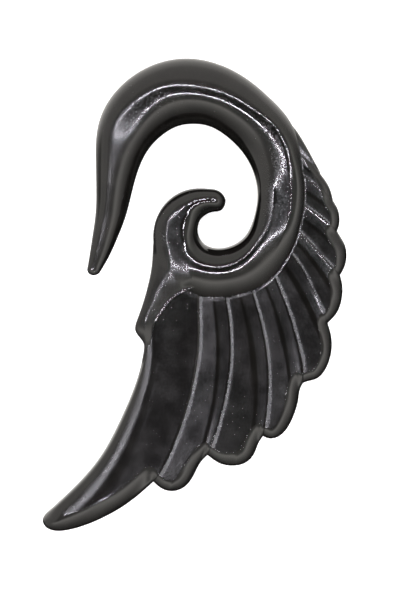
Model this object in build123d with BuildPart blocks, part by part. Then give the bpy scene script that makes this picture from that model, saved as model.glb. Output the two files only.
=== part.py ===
from build123d import *
import os
from collections import namedtuple

# An ear stretcher carved from one piece of horn: a round tapered hook that goes through the ear lobe,
# carried round an eye as a scroll ground flat on both faces, with a fan of ten feathers on its outer side.
# It lies flat, the hook's point down its left side and the long feather's tip at the lower left.

# driving dimensions, in millimetres
LENGTH = 59.0  # from the long feather's tip to the top of the arch
WIDTH = 38.0  # from the long feather's tip to the outermost feather
GAUGE = 8.2  # thickness of the round hook at the crest of the arch
GROUND_OFF = 0.05  # how far under the gauge each ground face of the scroll lies
FEATHER_THICKNESS = 5.2  # of the long feather
FEATHER_STEP = 0.1  # how much thinner each next feather is
RIM_BREADTH = 1.3  # of the rounded rim along a feather's edge, seen from above
RIM_DROP = 1.1  # from a feather's flat face to the foot of its rim
GROOVE_OVERLAP = 0.25  # how far each feather runs past the middle of the groove beside it

# Places are shares of WIDTH to the right and of LENGTH upwards, from the middle of the outline.
# A station's breadth, in the plane of the carving, and its depth are shares of GAUGE.
Spot = namedtuple("Spot", "across up")
Station = namedtuple("Station", "across up breadth depth")
Rib = namedtuple("Rib", "left right")
Groove = namedtuple("Groove", "root upper lower notch")
Tip = namedtuple("Tip", "toe heel")
RimStep = namedtuple("RimStep", "inset drop")

# the hook and the scroll, from the point over the arch and round the eye to the curl's tip
HOOK_POINT = Spot(-0.333, 0.037)
SCROLL = [
    Station(-0.331, 0.045, 0.17, 0.17),
    Station(-0.324, 0.061, 0.24, 0.24),
    Station(-0.304, 0.101, 0.32, 0.32),
    Station(-0.278, 0.165, 0.45, 0.45),
    Station(-0.258, 0.247, 0.60, 0.60),
    Station(-0.217, 0.355, 0.91, 0.91),
    Station(-0.130, 0.410, 1.00, 0.98),
    Station(-0.015, 0.431, 1.00, 0.98),
    Station(0.090, 0.413, 0.92, 0.98),
    Station(0.176, 0.376, 0.87, 1.02),
    Station(0.238, 0.317, 0.76, 1.05),
    Station(0.281, 0.222, 0.71, 1.05),
    Station(0.265, 0.146, 0.72, 1.05),
    Station(0.196, 0.076, 0.73, 1.05),
    Station(0.084, 0.047, 0.75, 1.03),
    Station(-0.021, 0.074, 0.71, 1.03),
    Station(-0.062, 0.135, 0.67, 1.03),
    Station(-0.044, 0.173, 0.57, 1.01),
    Station(-0.005, 0.194, 0.47, 0.91),
    Station(0.038, 0.199, 0.36, 0.73),
    Station(0.067, 0.198, 0.30, 0.50),
    Station(0.090, 0.195, 0.22, 0.28),
]
CURL_TIP = Spot(0.105, 0.191)

# the shoulder, from inside the scroll down on to the long feather
SHOULDER = [
    Station(-0.040, 0.100, 0.61, 1.02),
    Station(-0.076, 0.062, 0.62, 1.00),
    Station(-0.094, 0.022, 0.56, 0.93),
    Station(-0.119, -0.010, 0.43, 0.88),
    Station(-0.142, -0.037, 0.34, 0.83),
    Station(-0.163, -0.064, 0.28, 0.76),
    Station(-0.171, -0.081, 0.20, 0.55),
]
SHOULDER_END = Spot(-0.174, -0.093)

# the long feather, rib by rib from its root in the scroll to its tip
LONG_FEATHER = [
    Rib(Spot(-0.090, 0.027), Spot(0.015, 0.040)),
    Rib(Spot(-0.160, -0.102), Spot(0.015, -0.106)),
    Rib(Spot(-0.168, -0.151), Spot(0.008, -0.151)),
    Rib(Spot(-0.222, -0.244), Spot(-0.064, -0.314)),
    Rib(Spot(-0.303, -0.343), Spot(-0.196, -0.424)),
    Rib(Spot(-0.370, -0.396), Spot(-0.288, -0.460)),
    Rib(Spot(-0.436, -0.437), Spot(-0.377, -0.487)),
    Rib(Spot(-0.470, -0.456), Spot(-0.436, -0.496)),
]
LONG_FEATHER_TIP = Tip(Spot(-0.499, -0.477), Spot(-0.475, -0.497))

# the grooves that part the feathers, from the long feather's edge round to the top of the fan
GROOVES = [
    Groove(Spot(0.015, 0.025), Spot(0.015, -0.106), Spot(-0.035, -0.265), Spot(-0.135, -0.388)),
    Groove(Spot(0.097, 0.025), Spot(0.117, -0.106), Spot(0.090, -0.233), Spot(0.035, -0.333)),
    Groove(Spot(0.173, 0.031), Spot(0.222, -0.075), Spot(0.237, -0.191), Spot(0.217, -0.292)),
    Groove(Spot(0.242, 0.063), Spot(0.298, -0.017), Spot(0.340, -0.102), Spot(0.350, -0.180)),
    Groove(Spot(0.291, 0.110), Spot(0.347, 0.061), Spot(0.396, -0.003), Spot(0.429, -0.053)),
    Groove(Spot(0.314, 0.154), Spot(0.380, 0.110), Spot(0.426, 0.076), Spot(0.469, 0.046)),
    Groove(Spot(0.324, 0.205), Spot(0.370, 0.186), Spot(0.416, 0.165), Spot(0.462, 0.138)),
    Groove(Spot(0.317, 0.268), Spot(0.363, 0.249), Spot(0.410, 0.226), Spot(0.449, 0.203)),
    Groove(Spot(0.294, 0.323), Spot(0.347, 0.296), Spot(0.383, 0.277), Spot(0.410, 0.257)),
    Groove(Spot(0.258, 0.385), Spot(0.315, 0.359), Spot(0.360, 0.325), Spot(0.391, 0.288)),
]

# the tip of the feather between each groove and the next
TIPS = [
    Tip(Spot(-0.087, -0.415), Spot(-0.015, -0.394)),
    Tip(Spot(0.090, -0.358), Spot(0.174, -0.349)),
    Tip(Spot(0.258, -0.304), Spot(0.317, -0.269)),
    Tip(Spot(0.396, -0.179), Spot(0.446, -0.134)),
    Tip(Spot(0.462, -0.043), Spot(0.486, -0.005)),
    Tip(Spot(0.495, 0.063), Spot(0.497, 0.101)),
    Tip(Spot(0.474, 0.150), Spot(0.474, 0.179)),
    Tip(Spot(0.451, 0.213), Spot(0.438, 0.234)),
    Tip(Spot(0.410, 0.262), Spot(0.396, 0.279)),
]

# a feather's rounded rim, from its flat face out to its foot, as shares of RIM_BREADTH and RIM_DROP
RIM = [RimStep(1.0, 0.0), RimStep(0.45, 0.3), RimStep(0.0, 1.0)]
RIM_LIMIT = 0.35  # the most of a feather's breadth or thickness that one rim may take


def place(spot):
    """A spot of the tables as a point, in millimetres."""
    return Vector(spot.across * WIDTH, spot.up * LENGTH)


def standing_ellipse(centre, along, breadth, depth):
    """An ellipse standing across the way along, breadth wide and depth high."""
    with BuildSketch(Plane(centre, x_dir=(0, 0, 1), z_dir=along)) as section:
        Ellipse(depth / 2, breadth / 2)
    return section.sketch.face()


def carved_limb(stations, end, start=None):
    """A tapered round limb through its stations, drawn out to a point at its end, and at its start if given."""
    starts = [start] if start else []
    with BuildLine() as path:
        Spline(*[place(spot) for spot in [*starts, *stations, end]])
    spine = path.edge()
    sections = [
        standing_ellipse(place(s), spine.tangent_at(place(s)), s.breadth * GAUGE, s.depth * GAUGE)
        for s in stations
    ]
    with BuildPart() as limb:
        loft([*[Vertex(*place(spot)) for spot in starts], *sections, Vertex(*place(end))])
    return limb.part


def feather_outline(ribs, tip, inset_share):
    """The outline down a feather's ribs, round its tip and back, drawn in by a share of the rim's breadth."""
    left_side, right_side = [], []
    for left, right in ribs:
        middle = (place(left) + place(right)) / 2
        across = place(right) - middle
        full = across.length + GROOVE_OVERLAP
        drawn_in = full - min(RIM_BREADTH, RIM_LIMIT * 2 * full) * inset_share
        left_side.append(middle - across.normalized() * drawn_in)
        right_side.append(middle + across.normalized() * drawn_in)
    toe, heel = (middle + (place(spot) - middle) * drawn_in / full for spot in tip)
    Spline(*left_side)
    Spline(left_side[-1], toe, heel, right_side[-1])
    Spline(*reversed(right_side))
    Line(right_side[0], left_side[0])


def feather(ribs, tip, thickness):
    """A flat feather whose rims are rounded off on both faces."""
    drop = min(RIM_DROP, RIM_LIMIT * thickness)
    upper = [(step.inset, thickness / 2 - step.drop * drop) for step in RIM]
    lower = [(inset_share, -height) for inset_share, height in reversed(upper)]
    with BuildPart() as blade:
        for inset_share, height in upper + lower:
            with BuildSketch(Plane.XY.offset(height)):
                with BuildLine():
                    feather_outline(ribs, tip, inset_share)
                make_face()
        loft(ruled=True)
    return blade.part


# feathers, fanned round the scroll, each a little thinner than the one before
feathers = [feather(LONG_FEATHER, LONG_FEATHER_TIP, FEATHER_THICKNESS)]
for before, after, tip in zip(GROOVES, GROOVES[1:], TIPS):
    thickness = FEATHER_THICKNESS - len(feathers) * FEATHER_STEP
    feathers.append(feather(list(zip(before, after)), tip, thickness))

# hook, scroll and shoulder, with both faces ground flat
ground_face = GAUGE / 2 - GROUND_OFF
with BuildPart() as scroll:
    add(carved_limb(SCROLL, CURL_TIP, HOOK_POINT))
    add(carved_limb(SHOULDER, SHOULDER_END))
    split(bisect_by=Plane.XY.offset(ground_face), keep=Keep.BOTTOM)
    split(bisect_by=Plane.XY.offset(-ground_face), keep=Keep.TOP)

# the whole carving, moved so that the middle of its underside is the origin
with BuildPart() as carving:
    add(feathers)
    add(scroll.part)
box = carving.part.bounding_box()
with BuildPart() as wing_hanger:
    add(carving.part.moved(Location((-box.center().X, -box.center().Y, ground_face))))

wing_hanger.part.label = "wing_hanger"
os.makedirs("parts", exist_ok=True)
export_step(wing_hanger.part, "parts/wing_hanger.step")
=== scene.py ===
# %% [markdown]
# # A horn ear stretcher, carved as a scroll with a fan of feathers
#
# The real thing is one piece of black horn, about 59 mm long. A round tapered hook goes through
# the ear lobe, turns over as an arch, winds in round an eye, and carries a fan of ten feathers on
# its outer side.
#
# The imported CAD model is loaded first, as a fixed frame. Its one solid has the right size and
# outline, but its feathers are plain. The piece made here stands for it, inside the same box, with
# the carver's facets, ridges and rims and with the finish of the horn.

import bmesh
import bpy
import numpy as np
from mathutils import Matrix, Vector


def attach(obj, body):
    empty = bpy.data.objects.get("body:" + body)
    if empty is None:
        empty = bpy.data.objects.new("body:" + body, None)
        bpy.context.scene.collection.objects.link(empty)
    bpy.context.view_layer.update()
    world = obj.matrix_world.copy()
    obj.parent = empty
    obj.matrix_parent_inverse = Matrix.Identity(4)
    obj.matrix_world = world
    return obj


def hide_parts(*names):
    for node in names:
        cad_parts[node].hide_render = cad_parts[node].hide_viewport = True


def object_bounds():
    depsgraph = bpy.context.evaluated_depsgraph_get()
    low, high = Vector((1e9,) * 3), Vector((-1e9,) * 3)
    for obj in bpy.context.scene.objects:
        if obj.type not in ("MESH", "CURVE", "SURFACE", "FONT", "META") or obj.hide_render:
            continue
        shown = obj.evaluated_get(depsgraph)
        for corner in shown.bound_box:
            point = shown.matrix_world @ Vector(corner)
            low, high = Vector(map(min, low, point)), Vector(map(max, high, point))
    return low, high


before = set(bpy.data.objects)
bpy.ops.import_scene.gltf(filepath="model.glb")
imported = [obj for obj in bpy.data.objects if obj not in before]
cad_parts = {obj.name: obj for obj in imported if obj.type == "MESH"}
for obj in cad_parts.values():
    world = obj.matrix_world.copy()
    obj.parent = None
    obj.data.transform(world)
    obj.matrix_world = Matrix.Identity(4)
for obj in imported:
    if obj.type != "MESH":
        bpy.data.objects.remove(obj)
cad_low, cad_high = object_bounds()
MM = 0.001  # Blender works in metres, and the tables below in millimetres
mid_height = (cad_low.z + cad_high.z) / 2 / MM
print("CAD box in mm:", [round(side / MM, 2) for side in cad_high - cad_low])

# %% [markdown]
# ## The drawing
#
# The carving is set out on a drawing at eight times its size, as a carver would mark it on the
# horn before sawing. Its lines could also be pulled into place by hand in Blender, but then nobody
# could read off where they are. Here every point is given as (right, down) from the sheet's
# corner, in drawing millimetres.

# %% From the drawing to the horn
DRAWING_SCALE = 8.0
DRAWING_MIDDLE = np.array([194.5, 294.75])  # the middle of the carving on the sheet


def from_drawing(points):
    """Points of the sheet as (x, y) in millimetres from the middle of the carving, y upwards."""
    return (np.asarray(points, float) - DRAWING_MIDDLE) / DRAWING_SCALE * (1, -1)


print("the sheet's corner lies at", from_drawing((0, 0)), "mm")

# %% [markdown]
# ## The hook and the scroll
#
# The hook, the arch and the scroll are one band, which narrows to the hook's point at one end and
# to the curl's tip at the other. A pipe along a curve would be quick, but its section stays the
# same, and this one changes all the way. So each row of the table is a rib across the band, from
# its inner edge, on the side of the eye, to its outer edge, and says what the section is there.
# Where feathers grow from the band its outer edge lies a little inside them.

# %% The ribs of the band
# inner edge, outer edge (both right, down), half the thickness in mm, ground share, where the crest
# lies, how far the ground face is rolled (degrees, outwards positive), how far the outer side is
# cut short (share), how full the outer side is (2 is an ellipse, and less is slimmer)
BAND_RIBS = np.array([
    (101.0, 270.5, 87.6, 266.5, 0.60, 0.0, 0.30, 0, 0.00, 2.0),
    (107.5, 259.5, 89.2, 257.0, 0.85, 0.0, 0.30, 0, 0.00, 2.0),
    (117.0, 239.0, 92.4, 236.0, 1.30, 0.0, 0.30, 0, 0.00, 2.0),
    (125.2, 218.0, 95.2, 216.0, 1.75, 0.0, 0.30, 0, 0.00, 2.0),
    (133.0, 188.0, 96.2, 190.0, 2.43, 0.0, 0.30, 0, 0.00, 2.0),
    (140.0, 165.5, 95.8, 160.0, 3.07, 0.0, 0.25, 0, 0.00, 2.4),
    (150.0, 147.3, 98.0, 126.0, 3.72, 0.0, 0.18, 0, 0.00, 2.9),
    (164.0, 133.8, 113.5, 94.0, 3.98, 0.0, 0.14, 0, 0.00, 2.5),
    (180.0, 125.6, 148.0, 67.0, 4.02, 0.0, 0.12, 0, 0.00, 2.1),
    (196.0, 124.0, 190.0, 58.5, 4.03, 0.0, 0.01, 0, 0.00, 2.0),
    (212.0, 127.2, 233.0, 70.6, 4.03, 0.0, 0.04, 0, 0.00, 2.0),
    (228.0, 137.3, 268.0, 96.5, 4.03, 0.0, 0.20, 0, 0.00, 2.0),
    (242.0, 151.5, 292.0, 127.0, 3.98, 0.2, 0.38, -9, 0.05, 2.0),
    (252.5, 170.0, 300.0, 162.0, 3.83, 0.7, 0.42, -11, 0.12, 2.0),
    (257.3, 192.0, 304.0, 196.0, 3.90, 1.0, 0.10, -1, 0.13, 2.0),
    (255.0, 213.0, 299.0, 229.0, 3.90, 0.8, -0.20, -1, 0.13, 1.9),
    (246.5, 234.0, 285.5, 261.0, 3.97, 0.1, -0.40, 0, 0.13, 1.8),
    (233.0, 245.0, 260.5, 287.0, 4.03, 0.0, -0.26, 0, 0.13, 1.75),
    (219.0, 248.3, 229.0, 297.5, 4.03, 0.0, -0.14, 0, 0.13, 1.75),
    (206.0, 245.0, 196.0, 296.5, 4.03, 0.0, -0.12, 0, 0.13, 1.75),
    (199.0, 236.5, 169.0, 279.0, 4.03, 0.5, 0.00, 0, 0.05, 2.0),
    (198.0, 227.0, 153.8, 243.0, 4.03, 0.95, 0.05, 0, 0.00, 2.0),
    (200.5, 219.5, 158.0, 216.0, 4.03, 0.8, 0.00, 0, 0.00, 2.0),
    (206.0, 214.3, 173.5, 196.8, 4.00, 0.2, -0.08, 0, 0.00, 2.0),
    (211.0, 211.9, 193.0, 189.3, 3.97, 0.0, -0.10, 0, 0.00, 2.0),
    (215.0, 211.0, 212.6, 189.9, 3.92, 0.0, -0.10, 0, 0.00, 2.0),
])
print("the band has", len(BAND_RIBS), "ribs, at most", 2 * BAND_RIBS[:, 4].max(), "mm thick")

# %% [markdown]
# A few ribs are enough, because every number in them is carried from rib to rib by a smooth curve.
# Between two ribs it is a cubic, and its slope and its bend both run on unbroken through each rib.
# Polished horn shows every break in the bend as a kink in its highlights, so a curve that only
# kept its slope would not do.

# %% A smooth curve through a few values
def cubic_through(knots, values, at):
    """The smooth curve through the values at the knots, read at other places.

    Each span is a cubic. The bends at the knots come from one set of linear equations, which says
    that the slope is the same on both sides of each knot, and that the curve is straight at its
    two ends.
    """
    knots = np.asarray(knots, float)
    values = np.asarray(values, float).reshape(len(knots), -1)
    widths = np.diff(knots)
    equations, pull = np.eye(len(knots)), np.zeros_like(values)
    inside = np.arange(1, len(knots) - 1)
    equations[inside, inside - 1] = widths[:-1]
    equations[inside, inside] = 2 * (widths[:-1] + widths[1:])
    equations[inside, inside + 1] = widths[1:]
    pull[1:-1] = 6 * np.diff(np.diff(values, axis=0) / widths[:, None], axis=0)
    bend = np.linalg.solve(equations, pull)
    span = np.clip(np.searchsorted(knots, at) - 1, 0, len(widths) - 1)
    before, after = (at - knots[span])[:, None], (knots[span + 1] - at)[:, None]
    width = widths[span][:, None]
    curved = (bend[span] * after**3 + bend[span + 1] * before**3) / (6 * width)
    from_start = (values[span] / width - bend[span] * width / 6) * after
    from_end = (values[span + 1] / width - bend[span + 1] * width / 6) * before
    return curved + from_start + from_end


halfway = cubic_through([0, 1, 2], [0, 1, 0], np.array([0.5]))
print("halfway up to a top of 1, the curve is at", round(float(halfway[0, 0]), 3))

# %% [markdown]
# The knots of the curve are the places of the ribs along the band. Counting the ribs instead would
# make the curve swing out where two ribs lie close together, so how far the band has run by each
# rib is measured.

# %% From ribs to rows
BAND_ROWS = 260


def along_line(points):
    """How far along a line of points each one lies, as a share of its whole length."""
    walked = np.concatenate([[0], np.cumsum(np.linalg.norm(np.diff(points, axis=0), axis=1))])
    return walked / walked[-1]


def rows_through(ribs, count):
    """Many even rows from a few ribs of the sheet, in millimetres, and where the ribs lie in them.

    The first four numbers of a rib are its two edges. A rib's place is how far along the line
    through the middles of the ribs it lies, as a share.
    """
    places = along_line(from_drawing((ribs[:, 0:2] + ribs[:, 2:4]) / 2))
    edges = [from_drawing(ribs[:, 0:2]), from_drawing(ribs[:, 2:4])]
    rows = cubic_through(places, np.hstack([*edges, ribs[:, 4:]]), np.linspace(0, 1, count))
    return rows, places


band_rows, band_rib_places = rows_through(BAND_RIBS, BAND_ROWS)
print("the smooth band has", len(band_rows), "rows")

# %% [markdown]
# The hook's point and the curl's tip are rubbed round on the real piece. Ending the band with a
# flat cap would show as a cut, so past its last rib it goes on in its own direction for a little,
# and its breadth follows a quarter circle down to nothing.

# %% The two rounded ends
HOOK_ROUNDING, CURL_ROUNDING = 7.2, 11.6  # how far they reach past the last ribs, on the sheet
END_ROWS = 12  # from each tip to the last rib


def rounded_end(rows, reach):
    """The rows of an end before the first row, from its tip inwards, and their shares of full size.

    At an angle a of the quarter circle, a row lies reach * cos(a) away from the first row, and is
    sin(a) times as broad.
    """
    middle = (rows[:2, 0:2] + rows[:2, 2:4]) / 2
    outwards = middle[0] - middle[1]
    angle = np.linspace(0, np.pi / 2, END_ROWS + 1)[:-1, None]
    shift = outwards / np.linalg.norm(outwards) * reach * np.cos(angle)
    half = (rows[0, 2:4] - rows[0, 0:2]) / 2 * np.sin(angle)
    added = np.tile(rows[0], (END_ROWS, 1))
    added[:, 0:2], added[:, 2:4] = middle[0] + shift - half, middle[0] + shift + half
    return added, np.sin(angle)


hook_end, hook_size = rounded_end(band_rows, HOOK_ROUNDING / DRAWING_SCALE)
curl_end, curl_size = rounded_end(band_rows[::-1], CURL_ROUNDING / DRAWING_SCALE)
band_size = np.concatenate([hook_size, np.ones((BAND_ROWS, 1)), curl_size[::-1]])
band_rows = np.concatenate([hook_end, band_rows, curl_end[::-1]])
print("with its two ends the band has", len(band_rows), "rows")

# %% [markdown]
# Across the band the columns crowd together at the edges, where a round section turns down
# fastest. Even columns would show as corners there. A few more columns stand where the two creases
# beside the ground faces run, and keep them crisp.

# %% The grid of the band
BAND_COLUMNS = 49
CREASE_COLUMNS = [-0.37, -0.34, -0.33, -0.32, -0.30, 0.38, 0.40, 0.42]  # from edge (-1) to edge (1)


def crowded(count):
    """Numbers from 0 to 1 that crowd together at both ends: half of 1 - cos(pi * share)."""
    return (1 - np.cos(np.pi * np.linspace(0, 1, count))) / 2


across = np.unique(np.concatenate([2 * crowded(BAND_COLUMNS) - 1, CREASE_COLUMNS]))
inner_edge, outer_edge = band_rows[:, None, 0:2], band_rows[:, None, 2:4]
band_xy = inner_edge + (outer_edge - inner_edge) * ((1 + across) / 2)[:, None]
half_breadth = np.linalg.norm(band_rows[:, 2:4] - band_rows[:, 0:2], axis=1)[:, None] / 2
print("the band is", round(float(half_breadth.max()) * 2, 2), "mm broad at most")

# %% [markdown]
# The hook is round in section, so that the ear lobe slides over it. A half ellipse alone would put
# its crest in the middle, and on this piece the crest wanders to one side and back. So each side
# of the crest is a quarter ellipse of its own. Where the band is thicker than it is broad, the
# rounding is only as high as half its breadth, and stands on straight sides: the height is thick -
# cap * (1 - share).

# %% The round section
SMALLEST_SIZE = 0.05  # an end's breadth is never divided by a smaller size, to get its rib's back


def round_share(across, crest, cut, fullness):
    """A round section's height at places across it, as a share: sqrt(1 - t ** fullness).

    t is 0 at the crest and 1 at the edge, on either side. A fullness of 2 gives the ellipse, and a
    fuller section has a flatter crest. Only the outer side is ever slimmer than the ellipse. Where
    feathers hide the outer side it is cut short: its edge comes at t = 1 - cut, before its foot.
    """
    outwards = across > crest
    from_crest = np.abs(across - crest) / np.where(outwards, 1 - crest, 1 + crest)
    reach = from_crest * np.where(outwards, 1 - cut, 1)
    power = np.where(outwards, fullness, np.maximum(fullness, 2))
    return np.sqrt(np.clip(1 - reach**power, 0, 1))


thick, ground, crest, roll, cut, fullness = band_rows[:, 4:].T[..., None]
ground, cut = np.clip(ground, 0, 1), np.clip(cut, 0, 1)
cap = np.minimum(thick, half_breadth / np.maximum(band_size, SMALLEST_SIZE))
round_height = thick - cap * (1 - round_share(across, crest, cut, fullness) * band_size)
print("the round section is", round(float(round_height.max()) * 2, 2), "mm thick at most")

# %% [markdown]
# On its right and on its left the scroll was ground with a file, so there it has a nearly level
# face between two slopes. The ground section is given as tilts: at each place across the band, how
# far the surface leans away from level, because the tilt decides what a polished surface mirrors.
# Heights typed in by hand would have to be right to a thousandth of a millimetre. The height is
# what is left after walking down the slopes from the crest. Each rib then says how much of its
# section is ground and how much is round.

# %% The ground section
GROUND_TILTS = [  # place across from the inner edge (-1) to the outer edge (1), tilt in degrees
    (-1.0, -84), (-0.95, -66), (-0.88, -50), (-0.80, -34), (-0.70, -24), (-0.60, -18), (-0.52, -13),
    (-0.44, -9.5), (-0.40, -8), (-0.34, -6.7), (-0.32, -1), (-0.2, -1.5), (0.0, 0), (0.15, 0.8),
    (0.28, 1.2), (0.36, 1.5), (0.40, 1.5), (0.42, 11), (0.56, 13), (0.66, 17), (0.78, 27),
    (0.87, 42), (0.95, 60), (1.0, 70),
]


def summed_slopes(places, tilts):
    """How far a surface has fallen at each of some close places: its tilts' tangents, summed."""
    slope = np.tan(np.radians(np.interp(places, *np.transpose(tilts))))
    return np.concatenate([[0], np.cumsum((slope[1:] + slope[:-1]) / 2 * np.diff(places))])


def ground_drop(across):
    """How far the ground section lies under its crest, in half-breadths."""
    fine = np.linspace(-1, 1, 2001)
    fallen = summed_slopes(fine, GROUND_TILTS)
    return np.interp(across, fine, fallen - fallen.min())


rolled = ground_drop(across) + np.tan(np.radians(roll)) * across
ground_height = thick - half_breadth * rolled
band_height = (1 - ground) * round_height + ground * ground_height
print("the band is", round(float(band_height.max()) * 2, 2), "mm thick at most")

# %% [markdown]
# The arch, the curl and the inner side of the scroll were buffed to a mirror. The hook's shaft and
# the ground faces were only sanded, so they are satin. Painting that by hand on an image would tie
# it to one size of picture, so it is a number at each vertex: 0 is buffed and 1 is sanded. It goes
# from rib to rib along straight lines, and across the band it changes at the creases.

# %% The band's finish
BAND_FINISH = [  # rib, sanding on the inner side, in the crease, on the flat and outside, specks
    (0, 0.25, 0.25, 0.25, 0.25, 0.0),
    (5, 0.30, 0.30, 0.30, 0.30, 0.0),
    (6, 0.44, 0.44, 0.44, 0.44, 0.0),
    (7, 0.34, 0.34, 0.34, 0.34, 0.3),
    (8, 0.15, 0.15, 0.15, 0.15, 1.0),
    (11, 0.13, 0.13, 0.13, 0.13, 1.0),
    (12, 0.18, 0.13, 0.20, 0.12, 0.8),
    (13, 0.30, 0.15, 0.34, 0.15, 0.5),
    (14, 0.45, 0.05, 0.40, 0.15, 0.3),
    (15, 0.42, 0.35, 0.40, 0.12, 0.3),
    (16, 0.30, 0.05, 0.25, 0.15, 0.3),
    (17, 0.15, 0.05, 0.20, 0.10, 0.0),
    (18, 0.05, 0.04, 0.10, 0.08, 0.0),
    (19, 0.05, 0.04, 0.15, 0.10, 0.0),
    (20, 0.05, 0.05, 0.28, 0.42, 0.0),
    (21, 0.05, 0.05, 0.34, 0.50, 0.2),
    (22, 0.05, 0.05, 0.30, 0.35, 0.0),
    (23, 0.10, 0.10, 0.10, 0.10, 0.0),
    (25, 0.05, 0.05, 0.05, 0.05, 0.0),
]
# across the band, from the inner edge (-1) to the outer edge (1)
FINISH_PLACES = [-1.0, -0.82, -0.6, -0.35, -0.32, -0.22, -0.17, 0.33, 0.39, 1.0]
FINISH_OF_PLACES = [0, 0, 0, 0, 1, 1, 2, 2, 3, 3]  # which sanding of the table each place has
UNDERCUT_FINISH = [0.3, 0.4, 1, 1, 1, 1, 1, 1, 1, 1]  # the buff reaches the steep inner side best

finish_ribs, *finish_shares, rib_specks = np.transpose(BAND_FINISH)
finish_along = band_rib_places[finish_ribs.astype(int)]
row_places = np.concatenate([np.zeros(END_ROWS), np.linspace(0, 1, BAND_ROWS), np.ones(END_ROWS)])
row_finish = [np.interp(row_places, finish_along, share) for share in finish_shares]
place_finish = np.stack(row_finish, axis=1)[:, FINISH_OF_PLACES] * UNDERCUT_FINISH
column = np.clip(np.searchsorted(FINISH_PLACES, across) - 1, 0, len(FINISH_PLACES) - 2)
share_on = (across - np.take(FINISH_PLACES, column)) / np.diff(FINISH_PLACES)[column]
band_sanding = place_finish[:, column] * (1 - share_on) + place_finish[:, column + 1] * share_on
band_specks = np.interp(row_places, finish_along, rib_specks)[:, None]
print("the band's sanding goes up to", round(float(band_sanding.max()), 2))

# %% [markdown]
# ## From a grid to a closed skin
#
# The carving is the same on its front and its back, so each part of it is one sheet of heights
# above the middle plane, and the same sheet turned over below it. A Mirror modifier would make the
# second sheet but leave the rim open. Here a wall joins the two sheets along their four sides.
# Where the height comes down to nothing the wall closes up, and its doubled points are merged.

# %% The faces of a skin
def skin_faces(rows, columns):
    """The faces of two sheets of rows by columns vertices, and of the wall round them.

    The mirror of a vertex comes rows * columns later in the list. The lower sheet's faces run the
    other way round, so that they point down.
    """
    corner = np.arange(rows * columns).reshape(rows, columns)
    quads = [corner[:-1, :-1], corner[1:, :-1], corner[1:, 1:], corner[:-1, 1:]]
    quads = np.stack(quads, axis=-1).reshape(-1, 4)
    rim = np.concatenate([corner[0, :-1], corner[:-1, -1], corner[-1, :0:-1], corner[:0:-1, 0]])
    onwards = np.roll(rim, -1)
    walls = np.stack([rim, onwards, onwards + corner.size, rim + corner.size], axis=-1)
    return np.concatenate([quads, quads[:, ::-1] + corner.size, walls])


print("two sheets of 2 by 2 vertices make a box of", len(skin_faces(2, 2)), "faces")

# %% [markdown]
# The finish goes along with the skin as two attributes of its vertices, which the horn's material
# reads later. A second material for the sanded places would end at a hard line.

# %% A closed skin
LEAST_SHARE = 0.001  # no place has less, so that a 0 marks the vertices that the union makes later
MERGE_DISTANCE, THINNEST_FACE = 1e-7, 1e-8  # in metres


def closed_skin(name, xy, height, sanding, specks):
    """A mesh over a grid of places: the points (x, y, height) and (x, y, -height), and their wall.

    The lengths are in millimetres, and the heights count from the middle plane. sanding says how
    far each place was left sanded instead of polished, and specks how uneven its finish is. Both
    are shares, and become attributes of the vertices.
    """
    height = np.maximum(height, 0)[..., None]
    sheets = [np.concatenate([xy, mid_height + face * height], axis=-1) for face in (1, -1)]
    mesh = bpy.data.meshes.new(name)
    vertices = np.stack(sheets).reshape(-1, 3) * MM
    mesh.from_pydata(vertices, [], skin_faces(*xy.shape[:2]).tolist())
    for share_name, share in (("sanding", sanding), ("specks", specks)):
        share = np.clip(np.broadcast_to(share, xy.shape[:2]), LEAST_SHARE, 1).ravel()
        layer = mesh.attributes.new(share_name, "FLOAT", "POINT").data
        layer.foreach_set("value", np.tile(share, 2).astype(np.float32))
    shell = bmesh.new()
    shell.from_mesh(mesh)
    bmesh.ops.remove_doubles(shell, verts=shell.verts, dist=MERGE_DISTANCE)
    bmesh.ops.dissolve_degenerate(shell, edges=shell.edges, dist=THINNEST_FACE)
    bmesh.ops.recalc_face_normals(shell, faces=shell.faces)
    open_edges = sum(not edge.is_manifold for edge in shell.edges)
    shell.to_mesh(mesh)
    shell.free()
    skin = bpy.data.objects.new(name, mesh)
    bpy.context.scene.collection.objects.link(skin)
    print(name, "has", len(mesh.polygons), "faces and", open_edges, "open edges")
    return skin


band_skin = closed_skin("band", band_xy, band_height, band_sanding, band_specks)

# %% [markdown]
# ## The shoulder
#
# At its lower left the scroll runs out into the long feather as two soft ridges with a valley
# between them. A carver works such a place with a round file, so nothing meets at a sharp line
# there. Sculpting would give soft forms too, but its slopes could not be set to a degree. So the
# shoulder is a second band of ribs, from its left edge over a crest to its right edge.

# %% The shoulder's ribs
# left edge, right edge (both right, down), where the crest lies (share from the left edge), height
# of the crest in mm
SHOULDER_RIBS = np.array([
    (157.5, 224.0, 194.0, 233.0, 0.45, 2.90),
    (153.8, 239.0, 194.0, 250.0, 0.40, 3.25),
    (152.6, 254.0, 200.0, 268.0, 0.37, 3.62),
    (150.9, 271.0, 204.0, 284.0, 0.34, 3.80),
    (147.0, 289.0, 191.0, 289.5, 0.28, 3.73),
    (142.2, 305.5, 174.5, 298.0, 0.36, 3.65),
    (137.6, 318.5, 163.0, 312.0, 0.40, 3.57),
    (135.2, 327.5, 155.5, 324.0, 0.50, 3.42),
    (136.8, 333.5, 153.0, 333.5, 0.50, 3.14),
    (140.3, 338.0, 152.0, 340.0, 0.50, 2.85),
    (143.8, 343.5, 151.0, 347.0, 0.50, 2.60),
    (143.6, 352.0, 149.0, 355.0, 0.50, 2.40),
    (141.9, 362.0, 145.0, 363.5, 0.50, 2.15),
])
SHOULDER_ROWS, SHOULDER_COLUMNS = 96, 56

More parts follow.
